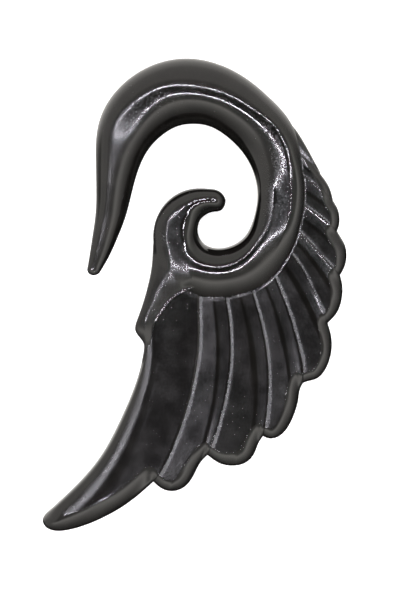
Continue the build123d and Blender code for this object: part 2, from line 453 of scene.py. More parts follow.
shoulder_rows, _ = rows_through(SHOULDER_RIBS, SHOULDER_ROWS)
from_left_edge = crowded(SHOULDER_COLUMNS)
left_edge, right_edge = shoulder_rows[:, None, 0:2], shoulder_rows[:, None, 2:4]
shoulder_xy = left_edge + (right_edge - left_edge) * from_left_edge[:, None]
shoulder_breadth = np.linalg.norm(right_edge - left_edge, axis=-1)
crest_at, crest_height = shoulder_rows[:, 4, None], shoulder_rows[:, 5, None]
print("the shoulder is", round(float(shoulder_breadth[0, 0]), 2), "mm broad at the scroll")

# %% [markdown]
# The section of the ridge is given as tilts again, one list of (share of the way from the crest to
# the edge, tilt in degrees) for each side of the crest. On the right the surface is almost level
# for a little before it turns down. On the way there and back the tilt passes the one that mirrors
# the lamps, and they show as a thin white arc along the ridge.

# %% The shoulder's section
LEFT_TILTS = [(0, 10), (0.3, 13), (0.6, 17), (0.75, 26), (0.88, 45), (0.95, 66), (1, 84)]
RIGHT_TILTS = [
    (0, 8), (0.2, 8.5), (0.5, 9), (0.74, 9), (0.79, 4), (0.83, 2), (0.91, 6.5), (0.955, 20),
    (1, 75),
]


def fallen(share, tilts):
    """The drop from the crest at shares of the way to the edge, for a way of length 1."""
    fine = np.linspace(0, 1, 1001)
    return np.interp(share, fine, summed_slopes(fine, tilts))


left_share = np.clip((crest_at - from_left_edge) / crest_at, 0, 1)
right_share = np.clip((from_left_edge - crest_at) / (1 - crest_at), 0, 1)
ridge_height = crest_height - fallen(left_share, LEFT_TILTS) * crest_at * shoulder_breadth
right_drop = fallen(right_share, RIGHT_TILTS) * (1 - crest_at) * shoulder_breadth
ridge_height = ridge_height - right_drop
print("the ridge stands", round(float(ridge_height.max()), 2), "mm over the middle plane")

# %% [markdown]
# To flow into the scroll, the shoulder has to know how high the scroll is under each of its
# places. Casting rays at the scroll's mesh would carry its flat faces over as small facets. So the
# height is read from the band's own grid: at the nearest grid point, and on along the slope there.
# A little smoothing takes out what is left of the grid.

# %% The scroll under the shoulder
SMOOTHING_TIMES = 12


def height_over(xy, grid_xy, grid_height):
    """The height of a grid's surface over other places: the nearest point's, carried on its slope.

    With a and b the steps to the next row and the next column, the way from the nearest point is
    split as u * a + v * b, and the height rises by u and v times the rise along each step.
    """
    flat = grid_xy.reshape(-1, 2)
    nearest = ((xy.reshape(-1, 1, 2) - flat) ** 2).sum(axis=-1).argmin(axis=1)
    steps = np.gradient(grid_xy, axis=(0, 1))
    (ax, ay), (bx, by) = (step.reshape(-1, 2)[nearest].T for step in steps)
    a_rise, b_rise = (r.ravel()[nearest] for r in np.gradient(grid_height, axis=(0, 1)))
    px, py = (xy.reshape(-1, 2) - flat[nearest]).T
    area = ax * by - ay * bx
    rise = (px * by - py * bx) / area * a_rise + (ax * py - ay * px) / area * b_rise
    return (grid_height.ravel()[nearest] + rise).reshape(xy.shape[:-1])


def smoothed(heights, times):
    """A grid of heights, each mixed half and half with its four neighbours' mean, several times."""
    for _ in range(times):
        framed = np.pad(heights, 1, mode="edge")
        beside = framed[:-2, 1:-1] + framed[2:, 1:-1] + framed[1:-1, :-2] + framed[1:-1, 2:]
        heights = heights / 2 + beside / 8
    return heights


lower_band = slice(len(band_rows) // 2, None)  # the half with the scroll
scroll_under = height_over(shoulder_xy, band_xy[lower_band], band_height[lower_band])
scroll_under = smoothed(scroll_under, SMOOTHING_TIMES)
print("under the shoulder the scroll is up to", round(float(scroll_under.max()), 2), "mm high")

# %% [markdown]
# The heights of the ridge and of the scroll under it are joined by a smooth maximum. Away from the
# joint it is the higher of the two, and where they come close it lies a little over both, as a
# fillet does. A Bevel modifier would need a clean edge to round, and the two parts meet at too
# flat an angle for one. On the right the fillet is small, so that it doesn't fill the white arc.

# %% Heights that flow into each other
FILLET = 0.9  # two heights that differ by less than this, in mm, are blended
SMALL_FILLET = 0.1  # the share of it that is left beyond the arc
FILLET_FADE = (0.5, 0.85)  # from where to where it shrinks, on the way from crest to right edge
SEAM = 0.02  # how far the ridge is kept under the scroll, so that the scroll's own skin shows there
SHOULDER_EDGE = 0.12  # how far in from the outline its rounding starts, in mm


def smooth_max(one, other, fillet):
    """The higher of two heights, and where they differ by less than the fillet, a parabola more."""
    close = np.clip(1 - np.abs(one - other) / fillet, 0, 1)
    return np.maximum(one, other) + close**2 * fillet / 4


def between(value, low, high):
    """0 below low, 1 above high, and a smooth step between: 3 * t ** 2 - 2 * t ** 3."""
    share = np.clip((value - low) / (high - low), 0, 1)
    return share * share * (3 - 2 * share)


def mixed(first, second, share):
    """The first where the share is 0, the second where it is 1, and a blend between."""
    return first + (second - first) * share


def edge_share(distance, rounding):
    """The rounding of an edge: a quarter circle, from nothing at the edge to the full height."""
    return np.sqrt(1 - (1 - np.clip(distance / rounding, 0, 1)) ** 2)


fillet = FILLET * mixed(1, SMALL_FILLET, between(right_share, *FILLET_FADE))
shoulder_height = smooth_max(ridge_height, scroll_under, fillet) - SEAM
from_edge = np.minimum(from_left_edge, 1 - from_left_edge) * shoulder_breadth
shoulder_height = shoulder_height * edge_share(from_edge, SHOULDER_EDGE)
print("the shoulder is", round(float(shoulder_height.max()) * 2, 2), "mm thick at most")

# %% [markdown]
# The ridge was left satin, and the thin edge on its right was buffed, so the arc on it is bright.

# %% The shoulder's finish
RIDGE_SANDING, ARC_SANDING = 0.38, 0.10
ARC_START = (0.74, 0.80)  # on the way from the crest to the right edge

on_arc = between(right_share, *ARC_START)
shoulder_sanding = RIDGE_SANDING + (ARC_SANDING - RIDGE_SANDING) * on_arc
shoulder_skin = closed_skin("shoulder", shoulder_xy, shoulder_height, shoulder_sanding, 0)

# %% [markdown]
# ## The fan of feathers
#
# Ten feathers lie side by side, parted by grooves that run from the band to the notches in the
# outline. Ten separate blades would leave slits between them, and on the real piece they are one
# block of horn with grooves cut into it. So the fan is drawn as eleven lines, of which the first
# and the last are its own two sides, and neighbouring feathers share a line.

# %% The grooves
FINE_ROWS = 240  # of the fine grid that each feather is first worked out on
GROOVES = [  # from root to notch; the first is the long feather's left edge, the last the fan's top
    [(151, 282), (146.5, 318), (144.3, 348), (138.5, 375), (125, 410), (100, 457), (70, 491),
     (45.5, 513.5)],
    [(199.2, 292), (199.5, 318), (199.3, 345), (196, 370), (189, 402), (177, 437), (164, 466),
     (153.5, 481.5)],
    [(225, 294.5), (229, 318), (230.5, 350), (228, 382), (221.5, 412), (214, 438), (207.5, 455)],
    [(250.6, 288), (257, 308), (264.5, 340), (268, 370), (267.5, 400), (265, 422), (263, 436)],
    [(272.4, 272.7), (280, 290), (290, 317), (297.5, 343), (302, 365), (303, 383)],
    [(289, 251), (300, 266), (315, 296), (323, 313), (327.5, 323)],
    [(297.2, 229.8), (310, 243), (325, 260), (340, 275)],
    [(301, 203.2), (307, 207.5), (322, 219), (337, 231)],
    [(300, 174.2), (305, 177.5), (319, 188.5), (333, 200.5)],
    [(295, 151.5), (298, 154), (310, 164), (321, 174.5)],
    [(286, 119.5), (290, 123), (303, 140.7), (316, 164.5)],
]


def drawn_line(points, at):
    """The smooth line through a few points of the sheet, read at shares of its length, in mm."""
    points = from_drawing(points)
    return cubic_through(along_line(points), points, at)


fine_up = np.linspace(0, 1, FINE_ROWS)
groove_lines = [drawn_line(points, fine_up) for points in GROOVES]
print("the fan has", len(groove_lines), "lines from its root to its notches and ends")

# %% [markdown]
# Each feather ends in a tip of its own shape, broad and round low in the fan and short at its top.
# An arc of a circle would make them all alike, so each tip is a smooth line through a few points.

# %% The tips
STEPS_PER_POINT = 12  # on the line round the tips that distances are measured from
TIPS = [  # from notch to notch round each feather's tip
    [(45.5, 513.5), (42.6, 519.5), (45, 526), (53, 530.3), (70, 529.5), (100, 519), (130, 501.5),
     (153.5, 481.5)],
    [(153.5, 481.5), (160, 487.3), (170, 491), (182, 488.5), (193, 476.5), (201.5, 461),
     (207.5, 455)],
    [(207.5, 455), (213, 459.3), (221, 463.8), (232, 465.7), (245, 463), (254, 454), (259, 442),
     (263, 436)],
    [(263, 436), (268, 438.2), (275, 438), (285, 431), (293, 417), (298.5, 398), (300.3, 388),
     (303, 383)],
    [(303, 383), (307.5, 381.3), (316, 379), (325, 370), (330.5, 356), (331.7, 341), (330, 331),
     (327.5, 323)],
    [(327.5, 323), (331, 319.7), (337, 312.5), (341.5, 300), (342.3, 286), (340, 275)],
    [(340, 275), (343.5, 269), (346.5, 256), (344.5, 244), (340.3, 236.5), (337, 231)],
    [(337, 231), (338.9, 225.5), (339.3, 216), (337, 207.3), (333, 200.5)],
    [(333, 200.5), (331, 192), (327, 183), (321, 174.5)],
    [(321, 174.5), (319.2, 170.5), (316, 164.5)],
]

tip_edge = np.concatenate([
    drawn_line(tip, np.linspace(0, 1, STEPS_PER_POINT * len(tip)))[:-1] for tip in TIPS
])
print("the line round the tips has", len(tip_edge), "points")

# %% [markdown]
# Each feather is a patch between four lines: the groove on its left, the groove on its right, its
# root under the band, and its rounded tip. To fill it, the blend of the two side lines and the
# blend of the two end lines are added, and the plain sheet through the four corners, which has
# been counted twice, is taken away. A grid cut to the outline would have ragged edges.

# %% The feathers as patches
FEATHER_COLUMNS = [44, 26, 26, 24, 24, 22, 18, 16, 14, 12]
WALL_SHARES = [0.03, 0.03, 0.03, 0.03, 0.035, 0.05, 0.06, 0.06, 0.06, 0.06]  # of the breadths
WALL_GAP = 0.004  # two columns this close together, as shares, keep each wall's top crisp


def filled_feather(left, right, root, tip, up, side):
    """The sheet between four lines: both blends of opposite lines, less the sheet of the corners.

    up and side are shares of the way from root to tip and from left to right.
    """
    up, side = up[:, None, None], side[None, :, None]
    sides = (1 - side) * left[:, None] + side * right[:, None]
    ends = (1 - up) * root[None, :] + up * tip[None, :]
    lower, upper = ((1 - side) * line[0] + side * line[-1] for line in (root, tip))
    return sides + ends - ((1 - up) * lower + up * upper)


roots = np.array([line[0] for line in groove_lines])
root_places = along_line(roots[1:])
feather_sides, fine_feathers = [], []
for number, (tip, columns) in enumerate(zip(TIPS, FEATHER_COLUMNS)):
    wall_top = 1 - WALL_SHARES[number]
    side = np.unique(np.concatenate([crowded(columns), [wall_top - WALL_GAP, wall_top]]))
    if number == 0:
        root = roots[0] + (roots[1] - roots[0]) * side[:, None]
    else:
        first, second = root_places[number - 1], root_places[number]
        root = cubic_through(root_places, roots[1:], first + (second - first) * side)
    left, right = groove_lines[number], groove_lines[number + 1]
    feather_sides.append(side)
    fine_feathers.append(filled_feather(left, right, root, drawn_line(tip, side), fine_up, side))
print("the fan has", sum(len(side) for side in feather_sides), "columns in", len(TIPS), "feathers")

# %% [markdown]
# Round each tip runs a bevel, on most feathers a little broader in the middle of the tip than at
# the notches. The crease at its inner side has to lie on a row of vertices, or it would be a row
# of teeth. So the distance of every place from the outline is measured first.

# %% The breadth of the bevels
BEVEL_BREADTHS = [2.1, 1.7, 1.8, 1.75, 1.45, 1.6, 1.6, 1.3, 1.1, 0.8]  # in the middle of each tip
NOTCH_BEVEL = 1.2  # the bevels' breadth where two feathers meet
BEVEL_GROWTH, BEVEL_DECLINE = (0, 0.4), (0.7, 1)  # where each bevel broadens and narrows again


def distance_to(xy, line):
    """The distance of each place from a line of points: from the two pieces beside the nearest.

    On a piece from a to b, the foot of the perpendicular from a place p lies at the share
    (p - a) . (b - a) / |b - a| ** 2 of the way, kept between 0 and 1.
    """
    nearest = ((xy[..., None, :] - line) ** 2).sum(axis=-1).argmin(axis=-1)
    distance = np.full(xy.shape[:-1], np.inf)
    for start in (np.maximum(nearest - 1, 0), np.minimum(nearest, len(line) - 2)):
        begin, piece = line[start], line[start + 1] - line[start]
        share = np.clip(((xy - begin) * piece).sum(axis=-1) / (piece**2).sum(axis=-1), 0, 1)
        from_foot = np.linalg.norm(xy - begin - share[..., None] * piece, axis=-1)
        distance = np.minimum(distance, from_foot)
    return distance


bevels = []
for number, (side, breadth) in enumerate(zip(feather_sides, BEVEL_BREADTHS)):
    start = breadth if number == 0 else NOTCH_BEVEL
    bevel = start + (breadth - start) * between(side, *BEVEL_GROWTH)
    bevels.append(bevel + (NOTCH_BEVEL - breadth) * between(side, *BEVEL_DECLINE))
fine_distances = [distance_to(feather, tip_edge) for feather in fine_feathers]
print("the broadest bevel is", round(float(bevels[0].max()), 2), "mm broad")

# %% [markdown]
# The final rows are then spread over each column by themselves: some over the face of the feather,
# as far as its bevel, and some over the bevel. In this way the grid follows the crease.

# %% The rows of each feather
FACE_ROWS, BEVEL_ROWS = 64, 16
CREASE_GAP = 1.012  # the face ends this many bevels from the outline, which keeps the crease crisp


def last_crossing(distance, level):
    """How far up each column of a grid its distance falls through the level for the last time."""
    last = len(distance) - 1 - (distance >= level)[::-1].argmax(axis=0)
    last = np.minimum(last, len(distance) - 2)
    columns = np.arange(distance.shape[1])
    before, after = distance[last, columns], distance[last + 1, columns]
    return (last + np.clip((before - level) / (before - after), 0, 1)) / (len(distance) - 1)


def at_rows(grid, up):
    """A grid with even rows from 0 to 1, read in each column at other rows, on straight lines."""
    row = np.clip((up * (len(grid) - 1)).astype(int), 0, len(grid) - 2)
    share = (up * (len(grid) - 1) - row)[..., None]
    columns = np.arange(grid.shape[1])
    return grid[row, columns] * (1 - share) + grid[row + 1, columns] * share


face_spread = crowded(FACE_ROWS)[:, None]
bevel_spread = np.sin(np.pi / 2 * np.linspace(0, 1, BEVEL_ROWS))[:, None]  # crowded at the outline
feather_ups, feathers, breadths = [], [], []
for number, (fine, distance) in enumerate(zip(fine_feathers, fine_distances)):
    face_end = last_crossing(distance, bevels[number] * CREASE_GAP)
    bevel_start = last_crossing(distance, bevels[number])
    up = [face_spread * face_end, bevel_start + (1 - bevel_start) * bevel_spread]
    feather_ups.append(np.concatenate(up))
    feathers.append(at_rows(fine, feather_ups[-1]))
    breadth = np.linalg.norm(groove_lines[number + 1] - groove_lines[number], axis=-1)
    breadths.append(np.interp(feather_ups[-1], fine_up, breadth))
print("each feather has", len(feather_ups[0]), "rows")

# %% [markdown]
# ## The carver's cuts
#
# Each feather overlaps the next one, so across it there are four cuts. From the groove on its left
# a sanded facet rises gently. Along the middle runs a level, polished crease. Then the flat falls
# a little, and it ends in a small wall down to the next groove. Facets and flats lean by a few
# degrees only, for horn is thin stock. A bump map would shade such cuts, but it could not make one
# feather stand over the next, so they are real heights.

# %% The rise of the facets and the fall of the flats
FACET_TILTS = [0, 3.0, 3.0, 3.0, 2.8, 2.2, 1.7, 1.6, 1.6, 1.6]  # degrees
FLAT_TILTS = [0.5, 1.1, 1.1, 1.1, 1.1, 1.6, 1.5, 1.5, 1.5, 1.5]
CREASES = [  # where each feather's crease lies, at its root and at its tip, and its half-breadth
    (0.00, 0.00, 0.00),
    (0.54, 0.56, 0.03),
    (0.53, 0.62, 0.03),
    (0.54, 0.44, 0.03),
    (0.52, 0.50, 0.05),
    (0.50, 0.50, 0.05),
    (0.45, 0.45, 0.06),
    (0.45, 0.45, 0.06),
    (0.45, 0.45, 0.06),
    (0.50, 0.50, 0.06),
]

crease_places, facet_rises, flat_falls = [], [], []
for number, (at_root, at_tip, _) in enumerate(CREASES):
    crease = mixed(at_root, at_tip, feather_ups[number])
    facet_slope, flat_slope = np.tan(np.radians([FACET_TILTS[number], FLAT_TILTS[number]]))
    crease_places.append(crease)
    facet_rises.append(facet_slope * crease * breadths[number])
    flat_falls.append(flat_slope * (1 - crease) * breadths[number])
print("the facets rise by up to", round(max(rise.max() for rise in facet_rises), 2), "mm")

# %% [markdown]
# Each cut is a ramp: a straight slope whose top is eased into the next cut by a parabola. How high
# a wall is follows from the next feather, whose foot it stands on.

# %% The faces of the feathers
FACE_HEIGHT = 2.6  # of the long feather's crease, above the middle plane
FACE_STEP = 0.06  # how much lower each next feather's crease lies
LAST_WALL = 0.3  # how far the last feather's wall reaches down from its crease, in mm
CREASE_EASE = 0.1  # how far the crease is rounded over, as a share of the facet or flat beside it
WALL_EASES = [0.02, 0.02, 0.02, 0.02, 0.02, 0.4, 0.4, 0.4, 0.4, 0.4]  # shares of the walls' breadth
STRIP_BREADTH = 0.33  # of the sanded strip along the foot of each facet, in mm
STRIP_EASE = 0.3  # how far its upper side is rounded over, as a share of its breadth
FOOT_CUTS = [0, 0.018, 0.018, 0.018, 0.018, 0.006, 0.006, 0.006, 0.006, 0.006]  # strips' fall, mm


def ramp(distance, ease):
    """1 at no distance, falling straight towards 0 at distance 1, and eased out there.

    Nearer to distance 1 than the ease e it is the parabola (1 + e - d) ** 2 / (4 * e).
    """
    left = 1 - distance
    eased = (left + ease) ** 2 / (4 * ease)
    return np.where(left > ease, left, np.where(left > -ease, eased, 0))


heights = []
for number, (side, up, crease) in enumerate(zip(feather_sides, feather_ups, crease_places)):
    face = FACE_HEIGHT - FACE_STEP * number
    if number + 1 < len(feathers):
        next_rise = np.interp(up, feather_ups[number + 1][:, 0], facet_rises[number + 1][:, 0])
        next_foot = face - FACE_STEP - next_rise - FOOT_CUTS[number + 1]
    else:
        next_foot = face - LAST_WALL
    height = face - flat_falls[number] * ramp((1 - side) / (1 - crease), CREASE_EASE)
    wall = face - flat_falls[number] - next_foot
    height = height - wall * ramp((1 - side) / WALL_SHARES[number], WALL_EASES[number])
    if number:
        height = height - facet_rises[number] * ramp(side / crease, CREASE_EASE)
        in_strip = side * breadths[number] / STRIP_BREADTH
        height = height - FOOT_CUTS[number] * ramp(in_strip, STRIP_EASE)
    heights.append(height)
print("the faces stand", round(float(heights[0].max()), 2), "mm over the middle plane at most")

# %% [markdown]
# The facets and the flats were sanded and hardly buffed, and along the foot of each facet, where
# no buffing wheel gets in, a thin strip is quite rough. The crease between facet and flat and the
# top of the wall caught the wheel, so they are polished.

# %% The finish of the faces
FACET_SANDING = [0, 0.27, 0.18, 0.24, 0.22, 0.20, 0.19, 0.19, 0.25, 0.50]
FLAT_SANDING = [0.20, 0.22, 0.20, 0.22, 0.20, 0.18, 0.18, 0.18, 0.25, 0.50]
STRIP_SANDING = [0, 0.85, 0.85, 0.85, 0.8, 0.6, 0.5, 0.5, 0.5, 0.5]
FACE_SPECKS = 0.12
STRIP_SPECKS = [0, 0.45, 0.45, 0.45, 0.45, 0.12, 0.12, 0.12, 0.12, 0.12]
STRIP_FADE = (STRIP_BREADTH + 0.1, STRIP_BREADTH - 0.15)  # from where to where it sets in, in mm
CREASE_FADE = 0.03  # how far beside the crease the sanding sets in, as a share of the breadth
WALL_FADE = (1.4, 1.8)  # how many walls' breadths from the groove the flat's sanding sets in

sandings, specks = [], []
for number, (side, crease) in enumerate(zip(feather_sides, crease_places)):
    half = CREASES[number][2]
    sanding = FLAT_SANDING[number] * between(side - crease, half, half + CREASE_FADE)
    sanding = sanding * between((1 - side) / WALL_SHARES[number], *WALL_FADE)
    speck = np.full(crease.shape, FACE_SPECKS)
    if number:
        strip = between(side * breadths[number], *STRIP_FADE)
        facet_sanding = mixed(FACET_SANDING[number], STRIP_SANDING[number], strip)
        sanding = sanding + between(crease - side, half, half + CREASE_FADE) * facet_sanding
        speck = mixed(speck, STRIP_SPECKS[number], strip)
    sandings.append(sanding)
    specks.append(speck)
print("the faces' sanding reaches", round(max(sanding.max() for sanding in sandings), 2))

# %% [markdown]
# The bevels turn the faces down towards the outline, in a curve that grows steeper on the way.
# They are given as tilts too, and buffed, so that the lamps run round each tip as a line of light.
# The bevel of the last feather runs on along the top of the fan.

# %% The bevels round the tips
BEVEL_REACH = 1.2  # the face begins to lean this far in, as a share of the bevel's breadth
BEVEL_TILTS = [  # how far out over that reach, tilt in degrees
    (0, 0), (0.158, 2), (0.1667, 12), (0.19, 13), (0.29, 16), (0.46, 21), (0.625, 27), (0.79, 36),
    (0.9, 48), (1, 65),
]
BEVEL_SANDING = [0.07, 0.07, 0.07, 0.07, 0.07, 0.07, 0.07, 0.1, 0.2, 0.5]
BEVEL_FADE = 1.08  # the buffed finish begins this many bevels from the outline
TOP_POINTS = 80  # of the line along the top of the fan that distances are measured from

top_edge = drawn_line(GROOVES[-1], np.linspace(0, 1, TOP_POINTS))
tip_distances, on_bevels = [], []
for number, (feather, bevel) in enumerate(zip(feathers, bevels)):
    from_tip = np.minimum(distance_to(feather, tip_edge), distance_to(feather, top_edge))
    out_share = np.clip(1 - from_tip / (bevel * BEVEL_REACH), 0, 1)
    heights[number] = heights[number] - fallen(out_share, BEVEL_TILTS) * bevel * BEVEL_REACH
    on_bevel = between(from_tip, bevel * BEVEL_FADE, bevel)
    sandings[number] = mixed(sandings[number], BEVEL_SANDING[number], on_bevel)
    specks[number] = specks[number] * (1 - on_bevel)
    tip_distances.append(from_tip)
    on_bevels.append(on_bevel)
print("the bevels fall by", round(float(fallen(1, BEVEL_TILTS)), 2), "times their reach")

# %% [markdown]
# The long feather has no groove on its left but a broad rounded rim. Between the rim and the face
# the carver left a slight bead, so the tilts fall below nothing there for a little. The rim is
# narrow at the root and broad at the tip: its lengths are scaled, and so its tilts stay the same.

# %% The long feather's rim
RIM_SCALES = [  # how far from root to tip, scale
    (0, 0.3), (0.2, 0.45), (0.35, 0.68), (0.5, 0.88), (0.65, 1.02), (0.85, 1.25), (1, 1.1),
]
RIM_TILTS = [  # distance in from the edge in mm, at a scale of 1, and tilt in degrees
    (0, 62), (0.3, 44), (0.6, 31), (0.9, 20), (1.1, 13), (1.3, 10), (1.5, 8), (1.7, 5), (1.9, 2),
    (2.4, 0), (2.7, -2), (3.0, -3), (3.3, -1.5), (3.6, 0), (20, 0),
]
ROOT_RIM, RIM_GROWTH = 0.35, (0.15, 0.45)  # the drop's share at the root, and where it grows to 1
LONG_EDGE_POINTS = 200  # of the line along the edge that distances are measured from


def rim_drop(distance):
    """How far the rim lies under the face: the tangents of its tilts, summed from the face out."""
    fine = np.linspace(0, RIM_TILTS[-1][0], 4001)
    risen = summed_slopes(fine, RIM_TILTS)
    return risen[-1] - np.interp(distance, fine, risen)


long_edge = drawn_line(GROOVES[0], np.linspace(0, 1, LONG_EDGE_POINTS))
from_long_edge = distance_to(feathers[0], long_edge)
rim_scale = np.interp(feather_ups[0], *np.transpose(RIM_SCALES))
in_rim = from_long_edge / rim_scale
rim_share = mixed(ROOT_RIM, 1, between(feather_ups[0], *RIM_GROWTH))
heights[0] = heights[0] - rim_drop(in_rim) * rim_scale * rim_share
print("the rim falls by", round(float(rim_drop(0)), 2), "mm at a scale of 1")

# %% [markdown]
# The rim was buffed on its outer slope and left satin higher up, and near the root the wheel did
# not reach it so well.

# %% The rim's finish
RIM_SANDING = [  # distance in from the edge in mm, at a scale of 1, and sanding
    (0, 0.1), (0.8, 0.2), (1.0, 0.5), (1.8, 0.5), (2.1, 0.1), (3.0, 0.1), (3.4, 0.20),
]
ROOT_DULLNESS, DULLNESS_FADE = 1.6, (0.4, 0.75)  # how much rougher at the root, and where it fades
RIM_FINISH_END = (3.4, 3.2)  # from where to where the rim's finish sets in, in mm from the edge
RIM_SPECKS_START = (3.0, 3.4)  # from where to where the face's specks set in

rim_dullness = mixed(ROOT_DULLNESS, 1, between(feather_ups[0], *DULLNESS_FADE))
rim_sanding = np.interp(in_rim, *np.transpose(RIM_SANDING)) * rim_dullness
on_rim = between(in_rim, *RIM_FINISH_END) * (1 - on_bevels[0])
sandings[0] = mixed(sandings[0], rim_sanding, on_rim)
specks[0] = specks[0] * between(in_rim, *RIM_SPECKS_START)
print("the rim's sanding reaches", round(float(rim_sanding.max()), 2))

# %% [markdown]
# Where the feathers meet the band the carver's file left a tiny rise, and it is rough there, as no
# wheel gets into the corner. Outside everything runs a rounded edge: the height follows a quarter
# circle down to nothing at the outline, and so the front and the back meet there.

# %% The joints with the band and the rounded edge
JOINT_RISE, JOINT_BREADTH, JOINT_SANDING = 0.04, 0.07, 0.3  # the first two in mm
JOINT_FADE = (0.3, 0.15)  # from where to where the joint's sanding sets in, in mm from the band
RISE_FROM_TIP, SANDING_FROM_TIP = (0.3, 1.0), (0.5, 1.5)  # and neither reaches the outline, in mm
EDGE_ROUNDING = 0.3  # how far in from the outline the edge's rounding starts, in mm
FEATHERED_ROWS = slice(BAND_ROWS // 3, -BAND_ROWS // 6)  # the band's rows that feathers may lie by

band_edge = band_xy[FEATHERED_ROWS, -1]
edge_distances = [np.minimum(tip_distances[0], from_long_edge), *tip_distances[1:]]
for number, (feather, from_tip) in enumerate(zip(feathers, tip_distances)):
    from_band = distance_to(feather, band_edge)
    rise = JOINT_RISE * np.exp(-from_band / JOINT_BREADTH) * between(from_tip, *RISE_FROM_TIP)
    rough = JOINT_SANDING * between(from_band, *JOINT_FADE) * between(from_tip, *SANDING_FROM_TIP)
    height = heights[number] + rise
    heights[number] = height * edge_share(edge_distances[number], EDGE_ROUNDING)
    sandings[number] = np.maximum(sandings[number], rough)
print("the fan is", round(max(height.max() for height in heights) * 2, 2), "mm thick at most")

# %% [markdown]
# The ten patches become one grid, side by side. Two neighbours share the column in their groove,
# and it is kept once, from the left one, so that nothing is open between them.

# %% The fan as one skin
def one_grid(feather_values):
    """The feathers' values side by side, with the column that two of them share kept once."""
    first, *others = feather_values
    return np.concatenate([first, *(values[:, 1:] for values in others)], axis=1)


fan_shares = one_grid(sandings), one_grid(specks)
fan_skin = closed_skin("fan", one_grid(feathers), one_grid(heights), *fan_shares)

# %% [markdown]
# ## One piece of horn
#
# The three skins are joined by a Boolean union, so that the carving is one closed surface with
# nothing left inside, as it is one piece of horn. Three skins that only overlap would look the
# same from outside, but where they overlap their volume would count twice. Where two skins cross
# at a clear angle the edge is kept sharp, and everywhere else the shading is smooth. Flat shading
# would show every small face in the highlights.

# %% The union
SHARP_EDGE = 38.0  # degrees


def joined(name, skins):
    """The union of closed skins as one object at the origin. The skins themselves are removed."""
    first, *others = skins
    for other in others:
        union = first.modifiers.new(other.name, "BOOLEAN")
        union.operation, union.solver, union.object = "UNION", "MANIFOLD", other
    evaluated = first.evaluated_get(bpy.context.evaluated_depsgraph_get())
    whole = bpy.data.meshes.new_from_object(evaluated)
    whole.name = name
    whole.materials.clear()
    for skin in skins:
        bpy.data.objects.remove(skin)
    whole.shade_smooth()
    whole.set_sharp_from_angle(angle=np.radians(SHARP_EDGE))
    result = bpy.data.objects.new(name, whole)
    bpy.context.scene.collection.objects.link(result)
    return result


carving = joined("horn_carving", [fan_skin, shoulder_skin, band_skin])
carving.data.calc_loop_triangles()
print("the carving has", len(carving.data.loop_triangles), "triangles")
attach(carving, "root")
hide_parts("wing_hanger")

# %% [markdown]
# The union leaves the vertices along its cuts at 0, without sanding or specks, and they would show
# as a buffed line between the parts. So each takes the highest share beside it.

# %% The finish along the cuts
def fill_cut_vertices(mesh, share_name):
    """Give each vertex whose share is 0 the highest share at the other ends of its edges."""
    layer = mesh.attributes[share_name].data
    shares = np.zeros(len(mesh.vertices), np.float32)
    ends = np.zeros(2 * len(mesh.edges), np.int32)
    layer.foreach_get("value", shares)
    mesh.edges.foreach_get("vertices", ends)
    beside = shares.copy()
    np.maximum.at(beside, ends[0::2], shares[ends[1::2]])
    np.maximum.at(beside, ends[1::2], shares[ends[0::2]])
    layer.foreach_set("value", np.where(shares > 0, shares, beside))
    print("filled", int((shares == 0).sum()), "cut vertices'", share_name)


fill_cut_vertices(carving.data, "sanding")
fill_cut_vertices(carving.data, "specks")

# %% [markdown]
# ## Black horn
#
# Horn is keratin, like a fingernail: black all through, with a faint warm grain, and as glossy as
# glass once it is buffed. Almost all that the eye sees is reflection, so the colour matters little
# and the roughness makes the finish. The noise is read at Object coordinates, which need no
# unwrapping, and so it runs through the horn as its grain does.

# %% The horn and its grain
HORN_IOR = 1.54  # how strongly horn bends light, which also says how brightly it mirrors
GRAIN_SIZE, GRAIN_DETAIL = 2.5 * MM, 4
DARK_HORN, LIGHT_HORN = (0.0040, 0.0037, 0.0034, 1), (0.0080, 0.0074, 0.0066, 1)
DARK_GRAIN, LIGHT_GRAIN = 0.35, 0.70  # the values of the grain's noise that have these colours


def add_node(tree, kind, inputs=None, **settings):
    """A node of a kind. Its inputs are numbers or colours, or other nodes' outputs to link."""
    node = tree.nodes.new(kind)
    for setting, value in settings.items():
        setattr(node, setting, value)
    for name, value in (inputs or {}).items():
        if isinstance(value, bpy.types.NodeSocket):
            tree.links.new(value, node.inputs[name])
        else:
            node.inputs[name].default_value = value
    return node


def noise(tree, place, size, detail):
    """Noise from about 0 to 1 at a place, with grains of a size."""
    inputs = {"Vector": place, "Scale": 1 / size, "Detail": detail}
    return add_node(tree, "ShaderNodeTexNoise", inputs).outputs["Fac"]


horn = bpy.data.materials.new("black_horn")
horn.use_nodes = True
horn_tree = horn.node_tree
horn_shader = horn_tree.nodes["Principled BSDF"]
horn_shader.inputs["IOR"].default_value = HORN_IOR
horn_place = add_node(horn_tree, "ShaderNodeTexCoord").outputs["Object"]
grain = noise(horn_tree, horn_place, GRAIN_SIZE, GRAIN_DETAIL)
tint = add_node(horn_tree, "ShaderNodeValToRGB", {"Fac": grain})
dark, light = tint.color_ramp.elements
dark.position, dark.color = DARK_GRAIN, DARK_HORN
light.position, light.color = LIGHT_GRAIN, LIGHT_HORN
horn_tree.links.new(tint.outputs["Color"], horn_shader.inputs["Base Color"])
carving.data.materials.append(horn)
print("the horn's colour takes", len(horn_tree.nodes), "nodes")

# %% [markdown]
# The roughness is the sanding share of the mesh, made uneven in two ways. The grain mottles it
# softly, because harder and softer horn takes the buffing differently. Fine noise breaks it up
# into the specks that sandpaper leaves, as far as the specks share of the mesh says.

